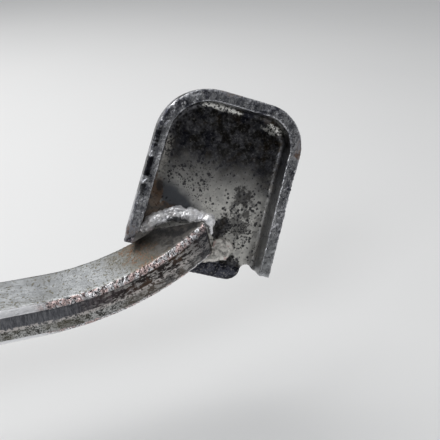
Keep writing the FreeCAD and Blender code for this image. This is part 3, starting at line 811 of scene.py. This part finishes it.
def painted_finish():
    """Black enamel on the stop plate: chipped at its edges to steel and rust, scratched between."""
    f = Finish("chipped_enamel")
    broad, middle, fine = f.noises(((8.0, 4.0, 0.6), (2.0, 4.0, 0.6), (0.6, 3.0, 0.7)), 61.0)
    scratch = f.noise(0.5, 2.0, 0.6, at=f.vector("MULTIPLY", f.place, (0.12, 1.6, 1.0)), seed=64.0)
    paint = f.tone(broad, 0.35, 0.65, (0.022, 0.023, 0.026), (0.055, 0.055, 0.054))
    paint = f.over(paint, (0.24, 0.24, 0.24), f.step(scratch, 0.66, 0.70), 0.5)
    edge = f.step(f.add(f.pointiness(), f.sway(middle, 0.25)), 0.535, 0.56)
    chips = f.most(edge, f.step(f.add(middle, f.times(fine, 0.3)), 0.83, 0.86))
    colour = f.mix(chips, paint, f.tone(fine, 0.42, 0.58, RUST, (0.36, 0.36, 0.37)))
    roughness = f.blend(chips, f.add(0.34, f.sway(broad, 0.35)), 0.55)
    height = f.add(f.times(chips, -1.0), f.times(f.noise(0.9, 2.0, seed=65.0), 0.35))
    return f.done(colour, roughness, f.times(chips, 0.8), height, 0.08, coat=0.15)


def rubber_finish():
    f = Finish("seal_rubber_skin")
    fine = f.noise(0.35, 3.0, 0.7, seed=71.0)
    dust = f.times(f.step(f.noise(4.0, 3.0, seed=72.0), 0.45, 0.7), 0.5)
    colour = f.mix(dust, (0.014, 0.014, 0.015), (0.075, 0.068, 0.058))
    return f.done(colour, f.add(0.55, f.times(fine, 0.3)), 0.0, fine, 0.05)


def floor_finish():
    f = Finish("pale_floor")
    fine = f.noise(1.2, 3.0, 0.6, seed=81.0)
    broad = f.noise(160.0, 2.0, 0.5, seed=82.0)
    colour = f.mix(broad, (0.70, 0.705, 0.71), (0.73, 0.732, 0.735))
    return f.done(colour, 0.75, 0.0, fine, 0.01)


pad_metal = pad_finish()
arm_metal = arm_finish()
# silvery weld painted nearly white as the light it reflects, with a painted shadow in its hollow under the
# bead's middle
bright_weld = weld_finish(
    "bright_weld", bright=(0.98, 0.975, 0.985), grey=(0.76, 0.76, 0.80), shadow=(0.06, 0.06, 0.075),
    tint=PINK, tint_share=0.15, roughness=0.24, metallic=0.5, hollow=((-8.8, 11.0), (3.6, 1.1)))
cream_weld = weld_finish(
    "cream_weld", bright=(0.82, 0.79, 0.74), grey=(0.27, 0.26, 0.245), shadow=(0.06, 0.055, 0.05),
    tint=(0.55, 0.36, 0.34), tint_share=0.8, roughness=0.36, metallic=0.4)
dull_weld = weld_finish(
    "dull_weld", bright=(0.44, 0.44, 0.45), grey=(0.20, 0.20, 0.21), shadow=(0.04, 0.036, 0.034),
    tint=RUST, tint_share=0.4, roughness=0.40)
hub_metal = cast_finish("hub_plating", (0.48, 0.49, 0.50), (0.17, 0.17, 0.18), 0.3)
crank_metal = cast_finish("crank_plating", (0.43, 0.44, 0.45), (0.13, 0.13, 0.14), 0.45)
zinc = turned_finish("zinc_plate", (0.50, 0.51, 0.53), (0.27, 0.275, 0.29), 0.36, 0.5, rust=0.5)
steel = turned_finish("ground_steel", (0.58, 0.585, 0.60), (0.40, 0.405, 0.42), 0.24, 0.8, rust=0.2)
bronze = turned_finish("bush_bronze", (0.52, 0.36, 0.17), (0.28, 0.18, 0.08), 0.34, 0.7)
spring_metal = turned_finish("oiled_spring", (0.20, 0.20, 0.215), (0.055, 0.052, 0.055), 0.36, 0.2, rust=0.6)
enamel = painted_finish()
rubber = rubber_finish()


# ---- the pedal pad
def pad_local(points):
    away = points - np.array(PAD_CORNER)
    return away @ np.array(PAD_U), away @ np.array(PAD_V), away @ np.array(PAD_N)


def on_pad(u, v, n):
    return PAD_CORNER + PAD_U * u + PAD_V * v + PAD_N * n


def pedal_pad():
    """The pressed tray: floor slightly dished, rim dented and worn, floor pitted."""
    dish, pit, bulge, dent, nick, worn = 0.05, 0.10, 0.35, 0.16, 0.06, 0.55
    obj = remeshed(cad_copy("pedal_pad", "pedal_pad_tray"), 0.36, 5)
    points = points_of(obj)
    normals = read_vertices(obj, "normal")
    u, v, n = pad_local(points)
    floor = smooth_step(normals @ np.array(PAD_N), 0.5, 0.9) * smooth_step(-n, -5.2, -4.4)
    middle = fractal(points, 2.4, 3)
    fine = fractal(points, 0.9, 2, 5.0)
    lift = dish * np.minimum(fractal(points, 8.0, 2, 3.0) - 0.2, 0)
    lift -= pit * smooth_step(fine, 0.35, 0.65) * floor
    lift += bulge * floor * np.exp(-((u + 12.8) / 4.5) ** 2 - ((v - 18.2) / 3.6) ** 2)
    rim = smooth_step(n, 8.2, 10.2)
    lift -= dent * rim * smooth_step(middle, 0.05, 0.6)
    lift -= nick * rim * smooth_step(fine, 0.15, 0.6)
    step = smooth_step(u, 17.0, 19.0) * smooth_step(n, 5.0, 8.0)
    step *= smooth_step(v, 22.0, 23.0) * smooth_step(-v, -33.6, -33.0)
    lift -= worn * step * smooth_step(normals @ np.array(PAD_U), 0.3, 0.8)
    return lifted(obj, lift)


piece(pedal_pad(), "lever", "pressed_sheet", pad_metal, "pedal_pad")


# ---- the forged arm
def arm_local(points):
    """Along the bar, across it and up through it, with the bend unrolled."""
    ahead = np.maximum(points[:, 0] - BEND_X, 0)
    down = BEND_CENTRE_Z - points[:, 2]
    turn = np.arctan2(ahead, down)
    return np.minimum(points[:, 0], BEND_X) + turn * BEND_R, points[:, 1], BEND_R - np.hypot(ahead, down)


def forged_arm():
    """The bar, its corners rounded, then broken up by pits round the bend."""
    obj = remeshed(cad_copy("lever_arm", "forged_lever_arm"), 0.38, 5)
    s, y, h = arm_local(points_of(obj))
    flat = np.stack([s, y, h], 1)
    middle = fractal(flat, 2.6, 3)
    fine = fractal(flat, 0.9, 2, 5.0)
    ribs = fractal(flat * np.array([1.0, 0.25, 0.3]), 0.75, 2, 7.0)
    side = np.abs(y)
    bend = smooth_step(s, 114.0, 126.0)
    corner = smooth_step(side, 6.9, 7.6) * smooth_step(np.abs(h), 3.2, 3.9)
    sides = smooth_step(side, 8.1, 8.4) * (1 - corner)
    groove = smooth_step(-np.abs(h + 0.5), -1.3, -0.6)
    lift = 0.04 * np.minimum(fractal(flat, 9.0, 2, 3.0), 0)
    lift -= corner * bend * (0.24 * smooth_step(ribs, -0.05, 0.4) + 0.10 * smooth_step(fine, 0.0, 0.5))
    lift -= corner * (1 - bend) * 0.05 * smooth_step(fine, 0.1, 0.5)
    lift -= sides * (0.03 + 0.09 * bend) * smooth_step(fine, 0.05, 0.5)
    lift -= sides * bend * 0.05 * smooth_step(ribs, 0.0, 0.4) * smooth_step(h, -0.5, 0.5)
    lift -= sides * 0.18 * groove * smooth_step(middle, 0.0, 0.5)
    lift -= (1 - corner) * (1 - sides) * 0.06 * smooth_step(fine, 0.45, 0.65)
    return lifted(obj, lift)


piece(forged_arm(), "lever", "worn_plating", arm_metal, "lever_arm")


# ---- welds at the pad
def upper_pad_weld():
    """The arched bead across the top of the bar's end, ending in a run down its corner."""
    path = [on_pad(-18.4, 6.6, 5.0), on_pad(-14.2, 10.4, 5.2), on_pad(-9.2, 13.2, 5.3),
            on_pad(-4.0, 13.7, 5.2), on_pad(0.6, 12.6, 5.2)]
    lumps = []
    for centre, along, share in spaced(path, 0.95):
        size = rng.uniform(0.85, 1.12) * (0.95 + 0.2 * share)
        shake = Vector(rng.uniform(-0.55, 0.55, 3))
        lumps.append((centre + shake, along, 1.6, 2.1 * size, 1.9 * size, PAD_N))
    stations = spaced(path, 0.2)
    for _ in range(30):
        centre, along, _ = stations[int(rng.uniform(0, 0.999) * len(stations))]
        spread = PAD_V * rng.uniform(-2.0, 1.9) + PAD_N * rng.uniform(0.2, 1.7)
        r = rng.uniform(0.40, 0.75)
        lumps.append((centre + spread, along, r * rng.uniform(2.2, 4.2), r, r * 0.9, PAD_N))
    nose = [on_pad(0.9, 12.4, 5.0), on_pad(-2.4, 15.2, 19.5)]
    for centre, along, _ in spaced(nose, 1.0):
        r = rng.uniform(1.6, 2.0)
        lumps.append((centre + Vector(rng.uniform(-0.3, 0.3, 3)), along, 1.5, r, r, PAD_V))
    for k in range(4):
        drop = nose[1] - PAD_V * (0.4 + 1.0 * k) + PAD_U * (0.5 + 0.35 * k)
        lumps.append((drop, PAD_U, 0.9, 1.0 - 0.12 * k, 0.9, PAD_N))
    return weld("pad_weld_bead", lumps, 0.26, 1, 0.22, 0.9)


def lower_pad_weld():
    """The puddle under the bar, drawn out to a tail along its lower corner."""
    main_drops = (((8.9, 5.4, 4.4), (2.6, 2.5, 1.5)), ((8.0, 3.4, 4.7), (2.9, 2.4, 1.6)),
                  ((5.8, 2.0, 5.0), (2.8, 1.9, 1.5)), ((3.6, 0.9, 4.9), (2.6, 1.4, 1.3)),
                  ((1.2, -0.2, 4.7), (2.2, 1.0, 1.0)), ((6.3, 6.3, 4.6), (2.0, 1.6, 1.3)))
    lumps = [(on_pad(*place), PAD_U + PAD_V * 0.45, *size, PAD_N) for place, size in main_drops]
    for _ in range(12):
        centre = on_pad(rng.uniform(2.5, 10.0), rng.uniform(1.0, 6.5), rng.uniform(4.2, 5.4))
        r = rng.uniform(0.5, 0.9)
        lumps.append((centre, PAD_U, r * 1.7, r, r, PAD_N))
    return weld("pad_weld_puddle", lumps, 0.28, 2, 0.18, 1.2)


def weld_piece(obj, metal, node, body="lever"):
    return piece(obj, body, "weld_metal", metal, node)


weld_piece(upper_pad_weld(), bright_weld, "pad_weld_upper")
weld_piece(lower_pad_weld(), cream_weld, "pad_weld_lower")


# ---- welds at the hub
def hub_weld_path(half_w, half_t, sign, gap):
    """Once round a bar of this section where it meets the hub."""
    corners = []
    across = np.linspace(-half_w, half_w, 13)
    for z, row in ((half_t, across), (-half_t, np.linspace(half_w, -half_w, 13))):
        for y in row:
            corners.append(Vector((sign * (math.sqrt(HUB_R ** 2 - y ** 2) + gap), y, ARM_Z + z)))
    corners.append(corners[0].copy())
    return corners


def out_of_hub(sign):
    def direction(point):
        away = Vector((0, point.y, (point.z - ARM_Z) * 1.6)).normalized()
        return away + Vector((sign * 0.8, 0, 0))
    return direction


arm_ring = hub_weld_path(ARM_HALF_W, ARM_HALF_T, 1, 0.9)
weld_piece(bead("hub_weld_bead", arm_ring, 2.0, 1.7, out_of_hub(1)), dull_weld, "hub_weld")
crank_ring = hub_weld_path(CRANK_HALF_W, CRANK_HALF_T, -1, 0.6)
weld_piece(bead("crank_weld_bead", crank_ring, 1.6, 1.4, out_of_hub(-1)), dull_weld, "crank_weld")
bracket_path = [Vector((x, 24.9, 5.1)) for x in (25.4, 40.6)]
bracket_bead = bead("bracket_weld_bead", bracket_path, 1.7, 1.7, lambda centre: (0, -1, 1))
weld_piece(bracket_bead, dull_weld, "bracket_weld", "frame_side")


# ---- hub, crank and bearings
def hub_profile():
    """Bored for the bushes, and turned down a little between two end bands."""
    bore = BUSH_R + RUNNING_GAP
    waist = HUB_R - 0.35
    lower = [(bore, HUB_LOW), (HUB_R - 0.6, HUB_LOW), (HUB_R, HUB_LOW + 0.6), (HUB_R, HUB_LOW + 3.0),
             (waist, HUB_LOW + 3.3)]
    return lower + [(radius, HUB_LOW + HUB_HIGH - z) for radius, z in reversed(lower)]


hub = turned("turned_hub", hub_profile(), closed=True, ease=0.3, around=128)
piece(hub, "lever", "worn_plating", hub_metal, "pivot_hub")
crank = forged("crank_arm", "forged_crank", voxel=0.5, relief=0.10, keep=0.6)
piece(crank, "lever", "worn_plating", crank_metal, "crank_arm")


def bush(name, flange_end, flange_face, far_end):
    """A tube in the hub's bore, with a flange that lies on the hub's end."""
    bore = JOURNAL_R + RUNNING_GAP
    profile = [(bore, flange_end), (FLANGE_R, flange_end), (FLANGE_R, flange_face), (BUSH_R, flange_face),
               (BUSH_R, far_end), (bore, far_end)]
    obj = turned(name + "_turned", profile, closed=True, ease=0.2)
    return piece(obj, "lever", "bronze", bronze, name)


def seal(name, low):
    """A rubber ring round a flange, with a groove inside."""
    inner, crown, outer = FLANGE_R + 0.12, 13.1, 15.0
    high = low + FLANGE_T
    lip = [(inner, low + 0.1), (crown, low), (outer - 0.4, low), (outer, low + 0.35), (outer, high - 0.35),
           (outer - 0.4, high), (crown, high), (inner, high - 0.1), (inner + 0.28, low + FLANGE_T / 2)]
    obj = turned(name + "_ring", lip, closed=True, ease=0.12)
    return piece(obj, "lever", "seal_rubber", rubber, name)


bush("bush_lower", HUB_LOW - FLANGE_T, HUB_LOW, HUB_LOW + BUSH_LEN)
bush("bush_upper", HUB_HIGH + FLANGE_T, HUB_HIGH, HUB_HIGH - BUSH_LEN)
seal("seal_lower", HUB_LOW - FLANGE_T)
seal("seal_upper", HUB_HIGH)


def zinc_piece(obj, body, *nodes):
    return piece(obj, body, "zinc_steel", zinc, *nodes)


nipple_base = Vector((0, -HUB_R, ARM_Z))
nipple_profile = [(0, -4.0), (2.4, -4.0), (2.5, -0.2), (2.5, 0.2), (2.2, 3.0), (2.2, 7.0), (3.0, 7.5),
                  (3.0, 9.0), (2.5, 9.6), (1.3, 11.0), (0.5, 11.0), (0.45, 10.4), (0, 10.3)]
nipple = turned("grease_nipple_body", nipple_profile, nipple_base, (0, -1, 0), ease=0.15, around=48)
zinc_piece(nipple, "lever", "grease_nipple")
zinc_piece(hexagon_piece("grease_nipple_hexagon", 7.0, 3.0, 2.0, nipple_base, (0, -1, 0)), "lever")

# ---- stud, nut and washers
stud_profile = [(0, STUD_LOW), (STUD_R - 1.1, STUD_LOW), (STUD_R, STUD_LOW + 1.0), (STUD_R, 0.0), (7.0, 0.0),
                (7.0, JOURNAL_LOW - 0.4), (JOURNAL_R, JOURNAL_LOW), (JOURNAL_R, JOURNAL_HIGH - 0.2),
                (JOURNAL_R - 0.4, JOURNAL_HIGH), (STUD_R, JOURNAL_HIGH), (STUD_R, STUD_HIGH - 1.0),
                (STUD_R - 1.0, STUD_HIGH), (0, STUD_HIGH)]


def drilled(obj, centre, axis, radius):
    """A hole right through, by boolean with a rod that is then removed."""
    far = 30
    rod_profile = [(0, -far), (radius, -far), (radius, far), (0, far)]
    rod = turned("drill", rod_profile, centre, axis, ease=0.0, around=32)
    apply_modifiers(obj, ("BOOLEAN", {"operation": "DIFFERENCE", "object": rod, "solver": "EXACT"}))
    bpy.data.objects.remove(rod)
    return smooth_shaded(obj, 32)


def pivot_stud():
    """Threaded at both ends; two lengths, because each thread has its own heights."""
    split_z = 20.0
    pitch, depth = 1.75, 0.95
    low = [p for p in stud_profile if p[1] < split_z] + [(JOURNAL_R, split_z), (0, split_z)]
    high = [(0, split_z), (JOURNAL_R, split_z)] + [p for p in stud_profile if p[1] > split_z]
    lower = turned("pivot_stud_lower", low, thread=(-17.2, -0.8, pitch, depth))
    upper = turned("pivot_stud_upper", high, thread=(48.4, 65.2, pitch, depth))
    return lower, drilled(upper, (0, 0, NUT_PIN_Z), (1, 0, 0), 1.5)


stud_lower, stud_upper = pivot_stud()
zinc_piece(stud_lower, "frame_side", "pivot_stud")
piece(stud_upper, "frame_side", "zinc_steel", steel)
zinc_piece(hexagon_piece("stud_collar", 24.0, 6.0, 6.9, (0, 0, 4.0)), "frame_side")
thrust_washer = ring_piece("thrust_washer_ring", 15.0, 8.05, 1.5, (0, 0, JOURNAL_LOW))
piece(thrust_washer, "frame_side", "bronze", bronze, "thrust_washer")
top_washer = ring_piece("top_washer_ring", 14.0, 6.1, 2.5, (0, 0, JOURNAL_HIGH), ease=0.3)
zinc_piece(top_washer, "frame_side", "top_washer")
zinc_piece(machined("castle_nut", "castle_nut_cut", 0.3), "frame_side", "castle_nut")

# ---- stop plate, screw and anchor
for name in ("stop_plate", "stop_bracket"):
    piece(machined(name, name + "_cut", 0.5), "frame_side", "painted_plate", enamel, name)
anchor_profile = [(0, 0.0), (2.1, 0.0), (2.5, 0.4), (2.5, 12.0), (2.1, 12.7), (1.4, 13.0), (0, 13.0)]
anchor = turned("anchor_pin", anchor_profile, (-28.0, 23.1, 0.0), around=48)
piece(anchor, "frame_side", "zinc_steel", steel, "spring_anchor_pin")
along_y = (0, 1, 0)
screw_profile = [(0, 8.85), (1.5, 9.0), (2.5, 9.7), (3.0, 11.0), (3.0, 38.0), (0, 38.0)]
screw = turned("stop_screw_shank", screw_profile, (SCREW_X, 0.0, ARM_Z), along_y, ease=0.2,
               thread=(11.2, 37.5, 1.0, 0.5), around=72)
zinc_piece(screw, "frame_side", "stop_screw")
screw_head = hexagon_piece("stop_screw_head", 10.0, 4.0, 0.6, (SCREW_X, 38.0, ARM_Z), along_y)
zinc_piece(screw_head, "frame_side")
locknut = hexagon_piece("stop_locknut_hexagon", 10.0, 5.0, 3.0, (SCREW_X, 30.0, ARM_Z), along_y)
zinc_piece(locknut, "frame_side", "stop_locknut")


# ---- return spring
def return_spring():
    """Left-hand coil: one leg runs to the anchor, the other passes under the arm and hooks up its side."""
    wire, coil, pitch, base, hook_x, bend = 1.5, 19.0, 3.3, 6.5, 42.0, 4.0
    fixed_leg = 36.0
    hook_y = -(ARM_HALF_W + wire) - 0.3
    reach = math.hypot(hook_x, hook_y)
    leave = math.atan2(hook_y, hook_x) + math.acos(coil / reach)
    sweep = 6 * math.pi + math.pi / 2 - leave

    def on_coil(turned_by):
        angle = math.pi / 2 - turned_by
        rise = base + pitch / (2 * math.pi) * turned_by
        return Vector((coil * math.cos(angle), coil * math.sin(angle), rise))

    count = 230
    path = [on_coil(sweep * i / count) for i in range(count + 1)]
    enter = (path[1] - path[0]).normalized()
    leaving = (path[-1] - path[-2]).normalized()
    start = path[0] - enter * fixed_leg
    path = [start.lerp(path[0], i / 12) for i in range(12)] + path
    across = leaving.cross(Vector((0, 0, 1))).normalized()
    up = across.cross(leaving)
    corner = path[-1] + leaving * (math.sqrt(reach ** 2 - coil ** 2) - bend)
    path += [path[-1].lerp(corner, i / 12) for i in range(1, 13)]
    turns = np.linspace(0, math.pi / 2, 10)[1:]
    path += [corner + (leaving * math.sin(a) + up * (1 - math.cos(a))) * bend for a in turns]
    top = path[-1] + up * (ARM_Z + 1 - path[-1].z)
    path += [path[-1].lerp(top, i / 6) for i in range(1, 7)]
    return swept("return_spring_wire", path, wire, 20)


spring = return_spring()
spring.data.materials.append(spring_metal)
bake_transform(spring)
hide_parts("return_spring")


# ---- clevis and split pins
def split_pin(name, d, length, at, axis, spread=38):
    """One wire folded on itself: two spread legs, a shank and an eye."""
    _, _, along = axis_frame(axis)
    side = Vector((0, 0, 1))
    half = 0.24 * d
    eye_r = 0.85 * d
    angle = math.radians(spread)
    leg = []
    for out in (1.9, 0.9):
        leg.append((half + math.sin(angle) * out * d, length - 0.3 + math.cos(angle) * out * d))
    leg += [(half + 0.12 * d, length + 0.1 * d), (half, length - 0.4 * d), (half, length * 0.4), (half, 0.1)]
    round_eye = np.radians(np.linspace(35, 325, 19))
    eye = [(eye_r * math.sin(a), -1.15 * d + eye_r * math.cos(a)) for a in round_eye]
    outline = leg + eye + [(-x, z) for x, z in reversed(leg)]
    return swept(name, [Vector(at) + side * x + along * z for x, z in outline], 0.25 * d, 12, 0.85)


fork_half = 8.2
tail = 7.2
head_z = tail + 2 * fork_half
eye_at = Vector((-CRANK_R, 0, ARM_Z))
pin_low = eye_at - Vector((0, 0, fork_half + tail))
cross_z = pin_low.z + 2.4
nut_pin = split_pin("nut_split_pin_wire", 2.8, 17.14, (-8.57, 0, NUT_PIN_Z), (1, 0, 0))
zinc_piece(nut_pin, "frame_side", "nut_split_pin")
fork = forged("clevis_fork", "clevis_fork_forging", voxel=0.42, relief=0.06, keep=0.5)
piece(fork, "clevis", "zinc_steel", crank_metal, "clevis_fork")
pin_profile = [(0, 0.0), (3.5, 0.0), (4.0, 0.5), (4.0, head_z), (6.25, head_z), (6.25, head_z + 2.0),
               (5.6, head_z + 2.5), (0, head_z + 2.5)]
pin = drilled(turned("clevis_pin_turned", pin_profile, pin_low), (-CRANK_R, 0, cross_z), along_y, 1.2)
piece(pin, "clevis", "zinc_steel", steel, "clevis_pin")
washer_at = eye_at - Vector((0, 0, fork_half + 1.4))
zinc_piece(ring_piece("clevis_washer_ring", 7.0, 4.1, 1.4, washer_at), "clevis", "clevis_washer")
cross_pin = split_pin("clevis_split_pin_wire", 2.2, 9.4, (-CRANK_R, 4.7, cross_z), (0, -1, 0))
zinc_piece(cross_pin, "clevis", "clevis_split_pin")

# ---- stage
bpy.ops.mesh.primitive_plane_add(size=40.0, location=(0.1, 0.0, STUD_LOW * MM))
floor = bpy.context.object
floor.name = "floor"
floor.data.materials.append(floor_finish())


def facing(at, aim, forward):
    return (Vector(aim) - Vector(at)).to_track_quat(forward, "Y").to_euler()


def area_light(name, at, aim, size, power, colour):
    data = bpy.data.lights.new(name, "AREA")
    data.shape = "RECTANGLE"
    data.size = size
    data.size_y = size
    data.energy = power
    data.color = colour
    lamp = linked(name, data)
    lamp.location = at
    lamp.rotation_euler = facing(at, aim, "-Z")


def flag(name, at, aim, size, shade):
    """A dark card out of sight, for the metal to mirror."""
    bpy.ops.mesh.primitive_plane_add(size=1.0, location=at)
    card = bpy.context.object
    card.name = name
    card.scale = (*size, 1)
    card.rotation_euler = facing(at, aim, "Z")
    f = Finish(name + "_cloth")
    cloth = f.mix(f.noise(60.0), (shade, shade, shade), (shade * 1.4, shade * 1.4, shade * 1.5))
    card.data.materials.append(f.done(cloth, 0.9, 0.0))
    card.visible_camera = False
    card.visible_shadow = False
    card.visible_diffuse = False


aim = (0.14, 0.0, 0.03)
area_light("key", (-0.09, 0.38, 0.66), aim, 0.6, 4.3, (1.0, 0.988, 0.97))
area_light("fill", (-0.26, -0.36, 0.46), aim, 0.22, 1.1, (0.97, 0.985, 1.0))
flag("dark_card", (0.10, -0.55, 0.10), (0.14, 0.0, 0.06), (0.9, 0.42), 0.012)

world = bpy.data.worlds.new("soft_room")
world.use_nodes = True
tree = world.node_tree
tree.nodes.clear()
coordinate, height_of, ramp, background, output = (
    tree.nodes.new("ShaderNode" + kind)
    for kind in ("TexCoord", "SeparateXYZ", "ValToRGB", "Background", "OutputWorld"))
low_end, high_end = ramp.color_ramp.elements
low_end.position, low_end.color = 0.0, (0.45, 0.455, 0.46, 1)
high_end.position, high_end.color = 0.8, (0.85, 0.86, 0.87, 1)
tree.links.new(coordinate.outputs["Generated"], height_of.inputs[0])
tree.links.new(height_of.outputs["Z"], ramp.inputs[0])
tree.links.new(ramp.outputs[0], background.inputs[0])
tree.links.new(background.outputs[0], output.inputs[0])
background.inputs["Strength"].default_value = 0.62
scene.world = world

# ---- camera
azimuth, elevation = math.radians(-19.78), math.radians(27.58)
level = math.cos(elevation)
back = Vector((math.sin(azimuth) * level, -math.cos(azimuth) * level, math.sin(elevation)))
right = Vector((math.cos(azimuth), math.sin(azimuth), 0))
pose = Matrix((right, back.cross(right), back)).transposed().to_4x4()
pose.translation = Vector((117.2, -153.8, 132.45)) * MM
lens = bpy.data.cameras.new("camera")
lens.lens = 50
lens.sensor_width = 36
lens.clip_start = 0.005
camera = linked("camera", lens)
camera.matrix_world = pose
scene.camera = camera
scene.view_settings.view_transform = "Standard"
